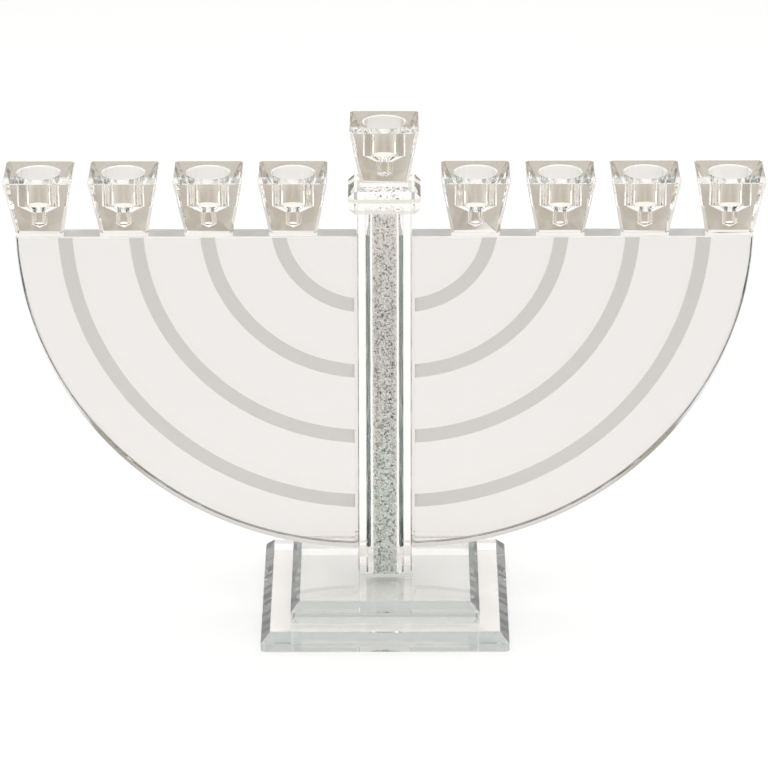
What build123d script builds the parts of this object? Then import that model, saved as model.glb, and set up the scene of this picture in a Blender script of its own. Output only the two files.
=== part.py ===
from build123d import *
from math import radians, sqrt, tan
import os

# Crystal menorah for eight candles and a raised middle candle, glued up from clear glass.
# Millimetres, +Z up. X runs along the row of cups, -Y is the front.
# The origin is the middle of the underside, on the surface that the menorah stands on.

# Base: two square tiers with a polished bevel around the top.
lower_side = 127.0
lower_thickness = 9.2
tier_step = 15.0
upper_thickness = 10.4
tier_bevel = 4.7
tier_corner = 1.0

# Column: one square glass block, bored through and packed with crushed glass.
column_width = 27.6
column_depth = 27.0
column_above_wings = 14.7
column_bore_diameter = 20.0
column_arris = 0.5
fill_clearance = 0.1

# Collar: the cut block between the column and the middle cup.
collar_width = 36.6
collar_height = 12.0
collar_bevel = 3.0

# Wings: two quarter discs of plate glass, glued edge-on to the column.
wing_thickness = 12.0
wing_radius = 174.8
wing_foot_clearance = 13.1
wing_centre_offset_x = 1.8
wing_centre_above_top = 3.0
wing_inner_bevel = 1.8
wing_arris = 0.6

# Cups: tapered blocks on a short straight foot, with a stepped bore drilled from the top,
# wide for a taper and narrow for a thin candle. Both steps end in the drill's cone.
cup_top = 35.0
cup_foot_width = 24.5
cup_height = 32.5
cup_foot_rise = 2.2
cup_corner = 1.6
cup_arris = 0.4
wide_bore_diameter = 21.5
wide_bore_depth = 14.5
narrow_bore_diameter = 8.5
narrow_bore_depth = 7.0
drill_point_angle = 120.0
bore_lip = 0.5
cups_per_wing = 4
extra_gap_beside_collar = 2.5

# Heights that follow from the sizes above.
upper_tier_z = lower_thickness
column_z = upper_tier_z + upper_thickness
wing_centre_z = column_z + wing_foot_clearance + wing_radius
wing_top_z = wing_centre_z - wing_centre_above_top
collar_z = wing_top_z + column_above_wings
column_height = collar_z - column_z
middle_cup_z = collar_z + collar_height

# Sizes and places across that follow. The last cup's foot ends flush with the wing's tip.
upper_side = lower_side - 2 * tier_step
column_side_x = column_width / 2
wing_centre_x = column_side_x - wing_centre_offset_x
wing_tip_x = wing_centre_x + sqrt(wing_radius**2 - wing_centre_above_top**2)
cup_row_start = collar_width / 2 + extra_gap_beside_collar
cup_row_end = wing_tip_x + (cup_top - cup_foot_width) / 2
cup_pitch = (cup_row_end - cup_row_start) / cups_per_wing
first_cup_x = cup_row_start + cup_pitch - cup_top / 2
collar_depth = column_depth + 2 * collar_bevel
fill_radius = column_bore_diameter / 2 - fill_clearance
cup_foot_depth = wing_thickness

on_top = (Align.CENTER, Align.CENTER, Align.MIN)


def bevelled_tier(side, thickness, z):
    """One square glass tier: ground corners, and a bevel around the top."""
    plate = Pos(0, 0, z) * Box(side, side, thickness, align=on_top)
    ground = chamfer(plate.edges().filter_by(Axis.Z), tier_corner)
    bevelled = chamfer(plate.faces().sort_by(Axis.Z)[-1].edges(), tier_bevel)
    return ground & bevelled


def column_block():
    """The square block, with its long edges eased and a bore from end to end."""
    block = Pos(0, 0, column_z) * Box(column_width, column_depth, column_height, align=on_top)
    block = chamfer(block.edges().filter_by(Axis.Z), column_arris)
    return block - Pos(0, 0, column_z) * Cylinder(column_bore_diameter / 2, column_height, align=on_top)


def crushed_glass_fill():
    """The body of loose crushed glass that fills the bore."""
    return Pos(0, 0, column_z) * Cylinder(fill_radius, column_height, align=on_top)


def collar_block():
    """A block with every edge bevelled. Its underside is as deep as the column."""
    block = Pos(0, 0, collar_z) * Box(collar_width, collar_depth, collar_height, align=on_top)
    return chamfer(block.edges(), collar_bevel)


def right_wing():
    """A quarter disc whose straight edges meet at the column's side and the cups' feet."""
    disc = Pos(wing_centre_x, wing_centre_z) * Circle(wing_radius)
    corner = Pos(column_side_x, wing_top_z) * Rectangle(
        wing_radius, wing_radius, align=(Align.MIN, Align.MAX)
    )
    wing = extrude(Plane.XZ * (disc & corner), amount=wing_thickness / 2, both=True)
    wing = chamfer(wing.edges().filter_by(Axis.Z), wing_inner_bevel)
    rim = wing.edges().filter_by(GeomType.CIRCLE)
    top = wing.faces().sort_by(Axis.Z)[-1].edges().filter_by(Axis.X)
    return chamfer(rim + top, wing_arris)


def tapered_block():
    """A block that widens upward from a straight foot to a square top."""
    front_view = Plane.XZ * trapezoid(cup_foot_width, cup_top)
    side_view = Plane.YZ * trapezoid(cup_foot_depth, cup_top)
    across = extrude(front_view, amount=cup_top, both=True)
    along = extrude(side_view, amount=cup_top, both=True)
    return across & along


def trapezoid(foot, top):
    right = [(foot / 2, 0), (foot / 2, cup_foot_rise), (top / 2, cup_height)]
    left = [(-across, up) for across, up in reversed(right)]
    return make_face(Polyline(*right, *left, close=True))


def stepped_bore():
    """What the stepped drill takes out of a cup, from its top down."""
    cone_slope = 1 / tan(radians(drill_point_angle / 2))
    wide_radius = wide_bore_diameter / 2
    narrow_radius = narrow_bore_diameter / 2
    wide_end = cup_height - wide_bore_depth
    narrow_start = wide_end - (wide_radius - narrow_radius) * cone_slope
    narrow_end = narrow_start - narrow_bore_depth
    tip = narrow_end - narrow_radius * cone_slope
    half = Polyline(
        (0, tip), (narrow_radius, narrow_end), (narrow_radius, narrow_start),
        (wide_radius, wide_end), (wide_radius, cup_height), (0, cup_height), close=True,
    )
    return revolve(Plane.XZ * make_face(half), Axis.Z)


def candle_cup(x, z):
    """A cut glass cup, drilled in two steps from the top."""
    block = tapered_block()
    upright = block.edges().filter_by(lambda edge: abs(edge.tangent_at(0.5).Z) > 0.5)
    block = chamfer(upright, cup_corner)
    block = chamfer(block.faces().sort_by(Axis.Z)[-1].edges(), cup_arris)
    cup = block - stepped_bore()
    mouth = cup.edges().filter_by(GeomType.CIRCLE).sort_by(Axis.Z)[-1]
    cup = chamfer(mouth, bore_lip)
    return Pos(x, 0, z) * cup


def save(node, shape):
    shape.label = node
    export_step(shape, os.path.join("parts", node + ".step"))


def main():
    os.makedirs("parts", exist_ok=True)
    save("lower_base_plate", bevelled_tier(lower_side, lower_thickness, 0))
    save("upper_base_plate", bevelled_tier(upper_side, upper_thickness, upper_tier_z))
    save("column_block", column_block())
    save("crushed_glass_fill", crushed_glass_fill())
    save("collar_block", collar_block())
    wing = right_wing()
    save("wing_plate_right", wing)
    save("wing_plate_left", mirror(wing, about=Plane.YZ))
    for number in range(cups_per_wing):
        x = first_cup_x + number * cup_pitch
        save("cup_right_" + str(number + 1), candle_cup(x, wing_top_z))
        save("cup_left_" + str(number + 1), candle_cup(-x, wing_top_z))
    save("cup_middle", candle_cup(0, middle_cup_z))


main()
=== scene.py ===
import math
import bpy
import bmesh
from mathutils import Matrix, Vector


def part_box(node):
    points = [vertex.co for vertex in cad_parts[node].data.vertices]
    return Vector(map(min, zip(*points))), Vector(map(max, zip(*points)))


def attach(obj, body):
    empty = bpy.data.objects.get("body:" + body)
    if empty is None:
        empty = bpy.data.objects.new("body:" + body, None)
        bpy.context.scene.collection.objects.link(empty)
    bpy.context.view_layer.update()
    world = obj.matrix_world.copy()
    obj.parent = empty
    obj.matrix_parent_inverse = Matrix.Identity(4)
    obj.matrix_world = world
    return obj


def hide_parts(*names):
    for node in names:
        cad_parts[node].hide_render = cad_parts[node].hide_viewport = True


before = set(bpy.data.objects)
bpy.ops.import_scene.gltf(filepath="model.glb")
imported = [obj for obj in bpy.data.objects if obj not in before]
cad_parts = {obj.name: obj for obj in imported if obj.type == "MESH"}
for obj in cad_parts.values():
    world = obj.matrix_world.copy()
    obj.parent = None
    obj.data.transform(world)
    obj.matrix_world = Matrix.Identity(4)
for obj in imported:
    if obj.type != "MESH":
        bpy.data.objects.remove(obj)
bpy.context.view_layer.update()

mm = 0.001
print("menorah: frame loaded")

# shared helpers


def linkObject(name, mesh):
    obj = bpy.data.objects.new(name, mesh)
    bpy.context.scene.collection.objects.link(obj)
    return obj


def newMaterial(name):
    material = bpy.data.materials.new(name)
    material.use_nodes = True
    tree = material.node_tree
    tree.nodes.clear()
    return material, tree


def addNode(tree, kind, **values):
    node = tree.nodes.new(kind)
    for key, value in values.items():
        setattr(node, key, value)
    return node


def mathNode(tree, operation, first, second=None):
    node = addNode(tree, "ShaderNodeMath", operation=operation)
    for socket, value in zip(node.inputs, (first, second)):
        if isinstance(value, (int, float)):
            socket.default_value = value
        elif value is not None:
            tree.links.new(value, socket)
    return node.outputs[0]


def mixColors(tree, share, first, second, blend="MIX"):
    node = addNode(tree, "ShaderNodeMix", data_type="RGBA", blend_type=blend)
    for socket, value in ((node.inputs[0], share), (node.inputs[6], first), (node.inputs[7], second)):
        if isinstance(value, (int, float, tuple)):
            socket.default_value = value
        else:
            tree.links.new(value, socket)
    return node.outputs[2]


def rampUp(tree, value, low, high):
    # 0 below low, 1 above high
    node = addNode(tree, "ShaderNodeMapRange")
    node.inputs["From Min"].default_value = low
    node.inputs["From Max"].default_value = high
    tree.links.new(value, node.inputs["Value"])
    return node.outputs[0]


# materials

# the dark tint is painted shade on the cups' top faces, which clear towards the front between stripFrom and
# stripTo, in mm
clearGlass = {
    "tint": (0.965, 0.942, 0.912, 1), "paintedShadeTint": (0.28, 0.24, 0.185, 1),
    "stripFrom": -10.5, "stripTo": -6.5,
    "ior": 1.52, "lampTint": (0.95, 0.95, 0.945, 1),
}
tierClear = {"tint": (0.915, 0.885, 0.87, 1), "ior": 1.52, "lampTint": (0.97, 0.97, 0.968, 1)}
plateGlass = {"tint": (0.865, 0.822, 0.808, 1), "ior": 1.52, "lampTint": (0.95, 0.95, 0.945, 1)}


def finishGlass(tree, shader, lampTint):
    # lamps shine through the glass instead of leaving a black shadow
    shader = openGlue(tree, shader)
    passing = addNode(tree, "ShaderNodeBsdfTransparent")
    passing.inputs["Color"].default_value = lampTint
    path = addNode(tree, "ShaderNodeLightPath")
    mix = addNode(tree, "ShaderNodeMixShader")
    tree.links.new(path.outputs["Is Shadow Ray"], mix.inputs[0])
    tree.links.new(shader, mix.inputs[1])
    tree.links.new(passing.outputs[0], mix.inputs[2])
    output = addNode(tree, "ShaderNodeOutputMaterial")
    tree.links.new(mix.outputs[0], output.inputs["Surface"])
    return output


def openGlue(tree, shader):
    # where clear glue joins two pieces, nothing of the joint shows
    glued = addNode(tree, "ShaderNodeAttribute", attribute_name="glued")
    clear = addNode(tree, "ShaderNodeBsdfTransparent")
    mix = addNode(tree, "ShaderNodeMixShader")
    tree.links.new(glued.outputs["Fac"], mix.inputs[0])
    tree.links.new(shader, mix.inputs[1])
    tree.links.new(clear.outputs[0], mix.inputs[2])
    return mix.outputs[0]


def glassShader(tree, tint, ior):
    glass = addNode(tree, "ShaderNodeBsdfPrincipled")
    glass.inputs["Base Color"].default_value = tint
    glass.inputs["Roughness"].default_value = 0.0
    glass.inputs["IOR"].default_value = ior
    glass.inputs["Transmission Weight"].default_value = 1.0
    return glass


def addBody(tree, output, body):
    # plate glass is faintly green through its depth
    depth = addNode(tree, "ShaderNodeVolumeAbsorption")
    depth.inputs["Color"].default_value = body["color"]
    depth.inputs["Density"].default_value = body["density"]
    tree.links.new(depth.outputs[0], output.inputs["Volume"])


def makeClearGlass(name, settings, body=None):
    material, tree = newMaterial(name)
    glass = glassShader(tree, settings["tint"], settings["ior"])
    if "paintedShadeTint" in settings:
        # painted shade: the cups' top faces are painted darker than the rest, but for a strip along the
        # front
        paintedShadeTop = addNode(tree, "ShaderNodeAttribute", attribute_name="paintedShadeTop")
        place = addNode(tree, "ShaderNodeTexCoord")
        split = addNode(tree, "ShaderNodeSeparateXYZ")
        tree.links.new(place.outputs["Object"], split.inputs[0])
        strip = rampUp(tree, split.outputs[1], settings["stripFrom"] * mm, settings["stripTo"] * mm)
        share = mathNode(tree, "MULTIPLY", paintedShadeTop.outputs["Fac"], strip)
        color = mixColors(tree, share, settings["tint"], settings["paintedShadeTint"])
        tree.links.new(color, glass.inputs["Base Color"])
    output = finishGlass(tree, glass.outputs[0], settings["lampTint"])
    if body:
        addBody(tree, output, body)
    return material


plateBody = {"color": (0.26, 0.42, 0.41, 1), "density": 8.0}
tierBody = {"color": (0.30, 0.41, 0.405, 1), "density": 5.5}
# the arcs' centre is set from the wing's inner edge and its top edge; sizes in mm
etching = {
    "inFromEdge": 4.4, "overTop": 7.1, "firstRadius": 40.8, "pitch": 35.94, "width": 7.35, "count": 4,
    "skin": 0.1, "roughness": 0.5, "tint": (0.50, 0.48, 0.445, 1),
}
topEdge = {"depth": 0.65, "roughness": 0.45, "ground": 0.22}


def arcMask(tree, split, wing):
    # 1 on the front face within an arc, 0 elsewhere; both wings share it, mirrored
    low, high = wing
    step = etching["pitch"] * mm
    across = mathNode(tree, "ABSOLUTE", split.outputs[0])
    across = mathNode(tree, "SUBTRACT", across, low.x - etching["inFromEdge"] * mm)
    upward = mathNode(tree, "SUBTRACT", split.outputs[2], high.z + etching["overTop"] * mm)
    acrossSquare = mathNode(tree, "MULTIPLY", across, across)
    upwardSquare = mathNode(tree, "MULTIPLY", upward, upward)
    radius = mathNode(tree, "SQRT", mathNode(tree, "ADD", acrossSquare, upwardSquare))
    turn = mathNode(tree, "DIVIDE", mathNode(tree, "SUBTRACT", radius, etching["firstRadius"] * mm), step)
    within = mathNode(tree, "LESS_THAN", mathNode(tree, "FRACT", turn), etching["width"] / etching["pitch"])
    inside = mathNode(tree, "GREATER_THAN", turn, 0.0)
    outside = mathNode(tree, "LESS_THAN", turn, float(etching["count"]))
    front = mathNode(tree, "LESS_THAN", split.outputs[1], low.y + etching["skin"] * mm)
    band = mathNode(tree, "MULTIPLY", within, front)
    return mathNode(tree, "MULTIPLY", band, mathNode(tree, "MULTIPLY", inside, outside))


def makeEtchedGlass(name, settings, body):
    # polished plate with sandblasted arcs on its front, and a top edge that is only smoothed
    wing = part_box("wing_plate_right")
    material, tree = newMaterial(name)
    place = addNode(tree, "ShaderNodeTexCoord")
    split = addNode(tree, "ShaderNodeSeparateXYZ")
    tree.links.new(place.outputs["Object"], split.inputs[0])
    mask = arcMask(tree, split, wing)
    edge = mathNode(tree, "GREATER_THAN", split.outputs[2], wing[1].z - topEdge["depth"] * mm)
    glass = glassShader(tree, settings["tint"], settings["ior"])
    haze = mathNode(tree, "MULTIPLY", mask, etching["roughness"])
    satin = mathNode(tree, "MULTIPLY", edge, topEdge["roughness"])
    tree.links.new(mathNode(tree, "MAXIMUM", haze, satin), glass.inputs["Roughness"])
    ground = mathNode(tree, "MULTIPLY", edge, topEdge["ground"])
    tree.links.new(mathNode(tree, "SUBTRACT", 1.0, ground), glass.inputs["Transmission Weight"])
    color = mixColors(tree, mask, settings["tint"], etching["tint"])
    tree.links.new(color, glass.inputs["Base Color"])
    output = finishGlass(tree, glass.outputs[0], settings["lampTint"])
    addBody(tree, output, body)
    return material


# tints by height in mm: low up to tintFrom, top from tintTo, and a painted highlight, nearly white, from
# paleTo
chipLook = {
    "glintCells": 1050.0, "darkTo": 0.10, "middleAt": 0.26, "brightFrom": 0.70,
    "dark": (0.34, 0.36, 0.36, 1), "middle": (0.93, 0.95, 0.95, 1), "bright": (1.0, 1.0, 1.0, 1),
    "lowTint": (0.93, 1.0, 0.98, 1), "topTint": (0.93, 0.93, 0.93, 1), "tintFrom": 70.0, "tintTo": 125.0,
    "pale": (1.0, 1.0, 1.0, 1), "paleShare": 0.92, "paleFrom": 165.0, "paleTo": 205.0,
    "metal": 0.15, "roughness": 0.12, "coat": 0.6,
}


def makeChipGlass(name, look):
    # painted glints and shade: splinters painted dark, grey and bright cell by cell, greenish low down, and
    # a painted highlight that makes them pale at the top
    material, tree = newMaterial(name)
    place = addNode(tree, "ShaderNodeTexCoord")
    split = addNode(tree, "ShaderNodeSeparateXYZ")
    tree.links.new(place.outputs["Object"], split.inputs[0])
    # painted glints and shade: each voronoi cell is painted dark, grey or bright, as a splinter facet
    # catching or missing the light
    glintCells = addNode(tree, "ShaderNodeTexVoronoi")
    glintCells.inputs["Scale"].default_value = look["glintCells"]
    tree.links.new(place.outputs["Object"], glintCells.inputs["Vector"])
    ramp = addNode(tree, "ShaderNodeValToRGB")
    steps = ramp.color_ramp.elements
    steps[0].position = look["darkTo"]
    steps[0].color = look["dark"]
    steps[1].position = look["brightFrom"]
    steps[1].color = look["bright"]
    steps.new(look["middleAt"]).color = look["middle"]
    tree.links.new(glintCells.outputs["Color"], ramp.inputs[0])
    height = rampUp(tree, split.outputs[2], look["tintFrom"] * mm, look["tintTo"] * mm)
    tint = mixColors(tree, height, look["lowTint"], look["topTint"])
    color = mixColors(tree, 1.0, ramp.outputs[0], tint, blend="MULTIPLY")
    # painted highlight: towards the top of the column the chips are painted nearly white
    pale = rampUp(tree, split.outputs[2], look["paleFrom"] * mm, look["paleTo"] * mm)
    color = mixColors(tree, mathNode(tree, "MULTIPLY", pale, look["paleShare"]), color, look["pale"])
    chip = addNode(tree, "ShaderNodeBsdfPrincipled")
    tree.links.new(color, chip.inputs["Base Color"])
    chip.inputs["Metallic"].default_value = look["metal"]
    chip.inputs["Roughness"].default_value = look["roughness"]
    chip.inputs["Coat Weight"].default_value = look["coat"]
    output = addNode(tree, "ShaderNodeOutputMaterial")
    tree.links.new(chip.outputs[0], output.inputs["Surface"])
    return material


crystal = makeClearGlass("polishedCrystal", clearGlass)
tierGlass = makeClearGlass("tierGlass", tierClear, tierBody)
etchedPlate = makeEtchedGlass("etchedPlateGlass", plateGlass, plateBody)
chipGlass = makeChipGlass("crushedGlass", chipLook)
print("menorah: materials made")

# glued joints: where two pieces meet; the last three are how near counts as the same place, in metres

seat = {"sink": 0.02 * mm, "level": 2e-6, "slack": 1e-6, "cut": 1e-7}


def sharedJoint(lower, upper, axis):
    # the rectangle where the upper piece's face lies on the lower piece's
    lowA, highA = flatFace(lower, axis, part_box(upper)[0][axis])
    lowB, highB = flatFace(upper, axis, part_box(upper)[0][axis])
    low = [max(a, b) for a, b in zip(lowA, lowB)]
    high = [min(a, b) for a, b in zip(highA, highB)]
    return {"axis": axis, "place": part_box(upper)[0][axis], "low": low, "high": high}


def flatFace(node, axis, place):
    # the corners of the node's flat face at that place along the axis
    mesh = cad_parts[node].data
    points = [v.co for v in mesh.vertices if abs(v.co[axis] - place) < seat["level"]]
    low = [min(p[i] for p in points) for i in range(3)]
    high = [max(p[i] for p in points) for i in range(3)]
    return low, high


cupNodes = sorted(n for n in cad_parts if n.startswith("cup_") and n != "cup_middle")
stacked = [("wing_plate_left" if "left" in cup else "wing_plate_right", cup) for cup in cupNodes]
stacked += [
    ("lower_base_plate", "upper_base_plate"), ("upper_base_plate", "column_block"),
    ("column_block", "collar_block"), ("collar_block", "cup_middle"),
]
joints = [{"pair": pair, **sharedJoint(*pair, 2)} for pair in stacked]
besideColumn = sharedJoint("column_block", "wing_plate_right", 0)
joints.append({**besideColumn, "pair": ("column_block", "wing_plate_right")})
joints.append({**besideColumn, "pair": ("column_block", "wing_plate_left"), "place": -besideColumn["place"]})
print("menorah: joints found,", len(joints))


def insideRectangle(point, joint):
    return all(
        joint["low"][i] - seat["slack"] < point[i] < joint["high"][i] + seat["slack"]
        for i in range(3) if i != joint["axis"]
    )


def liesAt(face, axis, place):
    return all(abs(v.co[axis] - place) < seat["level"] for v in face.verts)


def markJoint(mesh, joint, glued):
    # cuts the face along the joint's outline and marks the part inside as glued
    axis, place = joint["axis"], joint["place"]
    others = [i for i in range(3) if i != axis]
    for i in others:
        for edgePlace in (joint["low"][i], joint["high"][i]):
            flat = [f for f in mesh.faces if liesAt(f, axis, place)]
            normal = [0, 0, 0]
            normal[i] = 1
            spot = [0, 0, 0]
            spot[i] = edgePlace
            around = set(flat)
            for f in flat:
                around.update(f.edges)
                around.update(f.verts)
            bmesh.ops.bisect_plane(mesh, geom=list(around), dist=seat["cut"], plane_co=spot, plane_no=normal)
    for f in mesh.faces:
        if liesAt(f, axis, place) and insideRectangle(f.calc_center_median(), joint):
            f[glued] = 1.0


def sinkJoint(mesh, joint):
    # the upper piece reaches a hair into the lower one, as glue leaves no air between them
    axis, place = joint["axis"], joint["place"]
    shift = -seat["sink"] if place >= 0 else seat["sink"]
    for v in mesh.verts:
        if abs(v.co[axis] - place) < seat["level"]:
            v.co[axis] += shift


smoothing = {"merge": 1e-6, "sharpAngle": math.radians(25), "planar": math.radians(0.4)}


def glassPiece(name, node, material):
    # a cleaned copy of the node: merged, its flats made whole, its bores smooth
    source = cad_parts[node]
    mesh = bmesh.new()
    mesh.from_mesh(source.data)
    bmesh.ops.remove_doubles(mesh, verts=mesh.verts, dist=smoothing["merge"])
    bmesh.ops.dissolve_limit(mesh, angle_limit=smoothing["planar"], verts=mesh.verts, edges=mesh.edges)
    glued = mesh.faces.layers.float.new("glued")
    paintedShadeTop = mesh.faces.layers.float.new("paintedShadeTop")
    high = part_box(node)[1]
    for f in mesh.faces:
        f.material_index = 0
        # the cups' top faces are marked to take the painted shade
        if node.startswith("cup_") and all(v.co.z > high.z - seat["slack"] for v in f.verts):
            f[paintedShadeTop] = 1.0
    own = [j for j in joints if node in j["pair"]]
    for joint in own:
        markJoint(mesh, joint, glued)
    for joint in own:
        if joint["pair"][1] == node:
            sinkJoint(mesh, joint)
    for f in mesh.faces:
        f.smooth = True
    for e in mesh.edges:
        if len(e.link_faces) == 2:
            e.smooth = e.calc_face_angle() < smoothing["sharpAngle"]
    data = bpy.data.meshes.new(name)
    mesh.to_mesh(data)
    mesh.free()
    piece = linkObject(name, data)
    data.materials.append(material)
    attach(piece, "root")
    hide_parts(node)
    return piece


for node in cupNodes + ["cup_middle"]:
    glassPiece(node.replace("cup_", "candleCup_"), node, crystal)
glassPiece("collar", "collar_block", crystal)
glassPiece("column", "column_block", crystal)
glassPiece("lowerTier", "lower_base_plate", tierGlass)
glassPiece("upperTier", "upper_base_plate", tierGlass)
for side in ("left", "right"):
    glassPiece("wing_" + side, "wing_plate_" + side, etchedPlate)
print("menorah: glass pieces made")

# crushed glass, packed in the column's bore

chips = {
    "seed": 11, "perSquareMetre": 1080000.0, "smallest": 0.55, "largest": 1.25, "jag": 0.34,
    "sleeves": (9.4, 8.3), "sleeveSides": 40, "endRoom": 0.4, "clearance": 0.02,
}


def makeSleeves(low, high):
    # two thin sleeves one inside the other, and a disc at each end, for the chips to lie on
    mesh = bmesh.new()
    room = chips["endRoom"] * mm
    for radius in chips["sleeves"]:
        rings = []
        for z in (low.z + room, high.z - room):
            ring = []
            for i in range(chips["sleeveSides"]):
                turn = 2 * math.pi * i / chips["sleeveSides"]
                ring.append(mesh.verts.new((radius * mm * math.cos(turn), radius * mm * math.sin(turn), z)))
            rings.append(ring)
        for i in range(chips["sleeveSides"]):
            j = (i + 1) % chips["sleeveSides"]
            mesh.faces.new((rings[0][i], rings[0][j], rings[1][j], rings[1][i]))
    mesh.faces.new(rings[0][::-1])
    mesh.faces.new(rings[1])
    data = bpy.data.meshes.new("sleeves")
    mesh.to_mesh(data)
    mesh.free()
    return linkObject("sleeves", data)


def treeInput(tree, label, kind, value):
    socket = tree.interface.new_socket(label, in_out="INPUT", socket_type=kind)
    socket.default_value = value
    return socket


def makeChipTree(material):
    # scatters eight-sided shards on the sleeves, turns and stretches each, then pulls their corners about
    tree = bpy.data.node_groups.new("packedChips", "GeometryNodeTree")
    tree.interface.new_socket("Geometry", in_out="INPUT", socket_type="NodeSocketGeometry")
    tree.interface.new_socket("Geometry", in_out="OUTPUT", socket_type="NodeSocketGeometry")
    treeInput(tree, "Chips per square metre", "NodeSocketFloat", chips["perSquareMetre"])
    treeInput(tree, "Smallest chip", "NodeSocketFloat", chips["smallest"] * mm)
    treeInput(tree, "Largest chip", "NodeSocketFloat", chips["largest"] * mm)
    treeInput(tree, "Jag", "NodeSocketFloat", chips["jag"] * mm)
    treeInput(tree, "Seed", "NodeSocketInt", chips["seed"])
    start = addNode(tree, "NodeGroupInput")
    scatter = addNode(tree, "GeometryNodeDistributePointsOnFaces", distribute_method="RANDOM")
    tree.links.new(start.outputs["Geometry"], scatter.inputs["Mesh"])
    tree.links.new(start.outputs["Chips per square metre"], scatter.inputs["Density"])
    tree.links.new(start.outputs["Seed"], scatter.inputs["Seed"])
    shard = addNode(tree, "GeometryNodeMeshUVSphere")
    shard.inputs["Segments"].default_value = 4
    shard.inputs["Rings"].default_value = 2
    shard.inputs["Radius"].default_value = 1.0
    turn = addNode(tree, "FunctionNodeRandomValue", data_type="FLOAT_VECTOR")
    turn.inputs[0].default_value = (0, 0, 0)
    turn.inputs[1].default_value = (6.28, 6.28, 6.28)
    tree.links.new(start.outputs["Seed"], turn.inputs["Seed"])
    sizes = []
    for i in range(3):
        size = addNode(tree, "FunctionNodeRandomValue", data_type="FLOAT")
        tree.links.new(start.outputs["Smallest chip"], size.inputs[2])
        tree.links.new(start.outputs["Largest chip"], size.inputs[3])
        later = addNode(tree, "ShaderNodeMath", operation="ADD")
        tree.links.new(start.outputs["Seed"], later.inputs[0])
        later.inputs[1].default_value = 17.0 * (i + 1)
        tree.links.new(later.outputs[0], size.inputs["Seed"])
        sizes.append(size)
    stretch = addNode(tree, "ShaderNodeCombineXYZ")
    for i in range(3):
        tree.links.new(sizes[i].outputs[1], stretch.inputs[i])
    copies = addNode(tree, "GeometryNodeInstanceOnPoints")
    tree.links.new(scatter.outputs["Points"], copies.inputs["Points"])
    tree.links.new(shard.outputs["Mesh"], copies.inputs["Instance"])
    tree.links.new(turn.outputs[0], copies.inputs["Rotation"])
    tree.links.new(stretch.outputs[0], copies.inputs["Scale"])
    real = addNode(tree, "GeometryNodeRealizeInstances")
    tree.links.new(copies.outputs[0], real.inputs[0])
    pull = addNode(tree, "FunctionNodeRandomValue", data_type="FLOAT_VECTOR")
    pull.inputs[0].default_value = (-1, -1, -1)
    pull.inputs[1].default_value = (1, 1, 1)
    corner = addNode(tree, "GeometryNodeInputIndex")
    tree.links.new(corner.outputs[0], pull.inputs["ID"])
    amount = addNode(tree, "ShaderNodeVectorMath", operation="SCALE")
    tree.links.new(pull.outputs[0], amount.inputs[0])
    tree.links.new(start.outputs["Jag"], amount.inputs["Scale"])
    moved = addNode(tree, "GeometryNodeSetPosition")
    tree.links.new(real.outputs[0], moved.inputs["Geometry"])
    tree.links.new(amount.outputs[0], moved.inputs["Offset"])
    finish = addNode(tree, "GeometryNodeSetMaterial")
    finish.inputs["Material"].default_value = material
    tree.links.new(moved.outputs[0], finish.inputs["Geometry"])
    end = addNode(tree, "NodeGroupOutput")
    tree.links.new(finish.outputs[0], end.inputs[0])
    return tree


def makeCrushedGlass():
    low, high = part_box("crushed_glass_fill")
    sleeves = makeSleeves(low, high)
    modifier = sleeves.modifiers.new("chips", "NODES")
    modifier.node_group = makeChipTree(chipGlass)
    for item in modifier.node_group.interface.items_tree:
        if item.in_out == "INPUT" and item.name == "Seed":
            modifier[item.identifier] = chips["seed"]
    shown = sleeves.evaluated_get(bpy.context.evaluated_depsgraph_get())
    data = bpy.data.meshes.new_from_object(shown)
    sleeves.modifiers.clear()
    bpy.data.objects.remove(sleeves)
    # no shard reaches out of the bore
    clearance = chips["clearance"] * mm
    limit = high.x - clearance
    for v in data.vertices:
        reach = math.hypot(v.co.x, v.co.y)
        if reach > limit:
            v.co.x *= limit / reach
            v.co.y *= limit / reach
        v.co.z = min(max(v.co.z, low.z + clearance), high.z - clearance)
    data.name = "crushedGlassFill"
    mesh = bmesh.new()
    mesh.from_mesh(data)
    bmesh.ops.recalc_face_normals(mesh, faces=mesh.faces)
    for f in mesh.faces:
        f.smooth = False
    mesh.to_mesh(data)
    mesh.free()
    piece = linkObject("crushedGlassFill", data)
    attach(piece, "root")
    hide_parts("crushed_glass_fill")
    return piece


crushedGlass = makeCrushedGlass()
print("menorah: crushed glass packed,", len(crushedGlass.data.polygons), "faces")

# floor, light and camera

# lengths in metres: pale paper round the object, and a floor painted in darker beige shade from fadeTo
# outwards
floorLook = {
    "size": 24.0, "drop": 0.0003, "color": (0.86, 0.86, 0.86, 1), "shadedFarColor": (0.62, 0.57, 0.49, 1),
    "fadeFrom": 1.9, "fadeTo": 2.9, "roughness": 0.9,
}
# degrees above the horizon, and the colour there
sky = {
    "strength": 0.94,
    "bands": (
        (0.0, (0.52, 0.475, 0.405)), (3.5, (0.54, 0.495, 0.425)), (6.0, (0.70, 0.67, 0.62)),
        (9.0, (0.92, 0.90, 0.87)), (28.0, (0.95, 0.94, 0.92)), (33.0, (0.60, 0.60, 0.58)),
        (37.0, (0.26, 0.255, 0.24)), (44.0, (0.26, 0.255, 0.24)), (49.0, (0.70, 0.70, 0.69)),
        (90.0, (0.85, 0.85, 0.85)),
    ),
}
overhead = {"y": 0.12, "height": 2.0, "size": (2.7, 2.5), "power": 38.2}
viewpoint = {
    "place": (0.00498, -2.36303, 1.06721), "tiltDown": 21.8054, "turn": 0.13, "roll": -0.128,
    "lens": 232.47, "sensor": 36.0,
}


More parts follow.
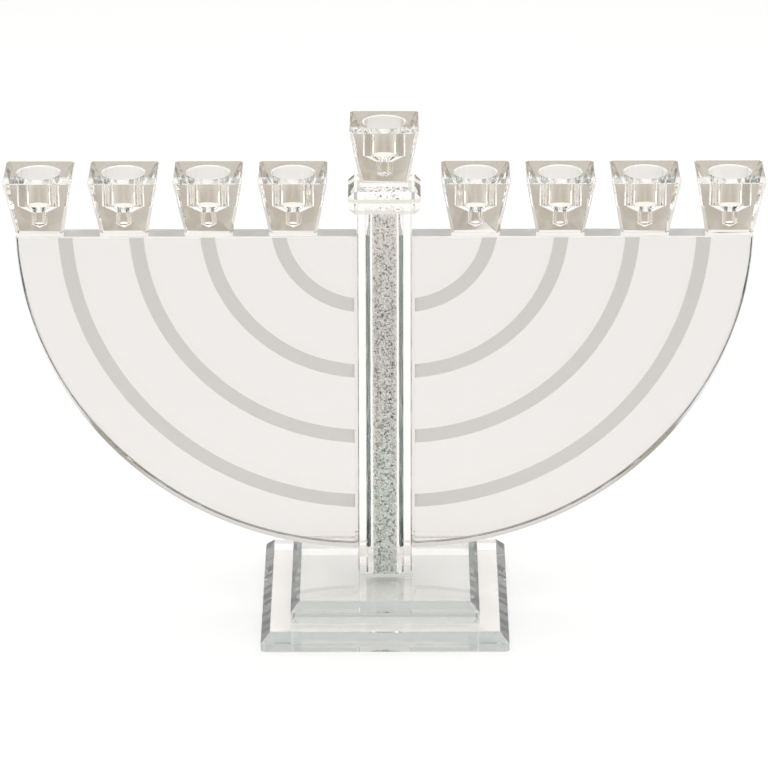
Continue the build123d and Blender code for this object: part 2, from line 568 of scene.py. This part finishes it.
def makeFloor():
    half = floorLook["size"] / 2
    corners = [(x * half, y * half, -floorLook["drop"]) for x, y in ((-1, -1), (1, -1), (1, 1), (-1, 1))]
    data = bpy.data.meshes.new("floor")
    data.from_pydata(corners, [], [(0, 1, 2, 3)])
    floor = linkObject("floor", data)
    material, tree = newMaterial("paleFloor")
    paint = addNode(tree, "ShaderNodeBsdfPrincipled")
    place = addNode(tree, "ShaderNodeTexCoord")
    reach = addNode(tree, "ShaderNodeVectorMath", operation="LENGTH")
    tree.links.new(place.outputs["Object"], reach.inputs[0])
    # painted shade: the floor darkens to beige between fadeFrom and fadeTo
    fade = addNode(tree, "ShaderNodeMapRange", interpolation_type="SMOOTHSTEP")
    fade.inputs["From Min"].default_value = floorLook["fadeFrom"]
    fade.inputs["From Max"].default_value = floorLook["fadeTo"]
    tree.links.new(reach.outputs["Value"], fade.inputs["Value"])
    color = mixColors(tree, fade.outputs[0], floorLook["color"], floorLook["shadedFarColor"])
    tree.links.new(color, paint.inputs["Base Color"])
    paint.inputs["Roughness"].default_value = floorLook["roughness"]
    output = addNode(tree, "ShaderNodeOutputMaterial")
    tree.links.new(paint.outputs[0], output.inputs["Surface"])
    data.materials.append(material)


def makeWorld():
    # a soft room: its brightness changes in bands from the horizon up
    world = bpy.data.worlds.new("studioAir")
    bpy.context.scene.world = world
    world.use_nodes = True
    tree = world.node_tree
    tree.nodes.clear()
    place = addNode(tree, "ShaderNodeTexCoord")
    split = addNode(tree, "ShaderNodeSeparateXYZ")
    tree.links.new(place.outputs["Generated"], split.inputs[0])
    ramp = addNode(tree, "ShaderNodeValToRGB")
    steps = ramp.color_ramp.elements
    for elevation, color in sky["bands"]:
        spot = math.sin(math.radians(elevation))
        ends = [step for step in steps if step.position == spot]
        step = ends[0] if ends else steps.new(spot)
        step.color = (*color, 1)
    tree.links.new(split.outputs[2], ramp.inputs[0])
    back = addNode(tree, "ShaderNodeBackground")
    back.inputs["Strength"].default_value = sky["strength"]
    tree.links.new(ramp.outputs[0], back.inputs["Color"])
    output = addNode(tree, "ShaderNodeOutputWorld")
    tree.links.new(back.outputs[0], output.inputs["Surface"])


def hangLamp():
    # one wide soft lamp, looking straight down
    data = bpy.data.lights.new("overhead", "AREA")
    data.shape = "RECTANGLE"
    data.size, data.size_y = overhead["size"]
    data.energy = overhead["power"]
    lamp = bpy.data.objects.new("overhead", data)
    bpy.context.scene.collection.objects.link(lamp)
    lamp.location = (0, overhead["y"], overhead["height"])


def makeCamera():
    data = bpy.data.cameras.new("camera")
    data.lens = viewpoint["lens"]
    data.sensor_width = viewpoint["sensor"]
    camera = bpy.data.objects.new("camera", data)
    bpy.context.scene.collection.objects.link(camera)
    camera.location = viewpoint["place"]
    aim = Matrix.Rotation(math.radians(viewpoint["turn"]), 4, "Z")
    tilt = Matrix.Rotation(math.radians(90 - viewpoint["tiltDown"]), 4, "X")
    roll = Matrix.Rotation(math.radians(viewpoint["roll"]), 4, "Z")
    camera.rotation_euler = (aim @ tilt @ roll).to_euler()
    bpy.context.scene.camera = camera


makeFloor()
makeWorld()
hangLamp()
makeCamera()
scene = bpy.context.scene
scene.view_settings.view_transform = "Standard"
scene.cycles.transparent_max_bounces = 24
scene.cycles.max_bounces = 24
scene.cycles.transmission_bounces = 24
scene.cycles.glossy_bounces = 12
print("menorah: stage set")
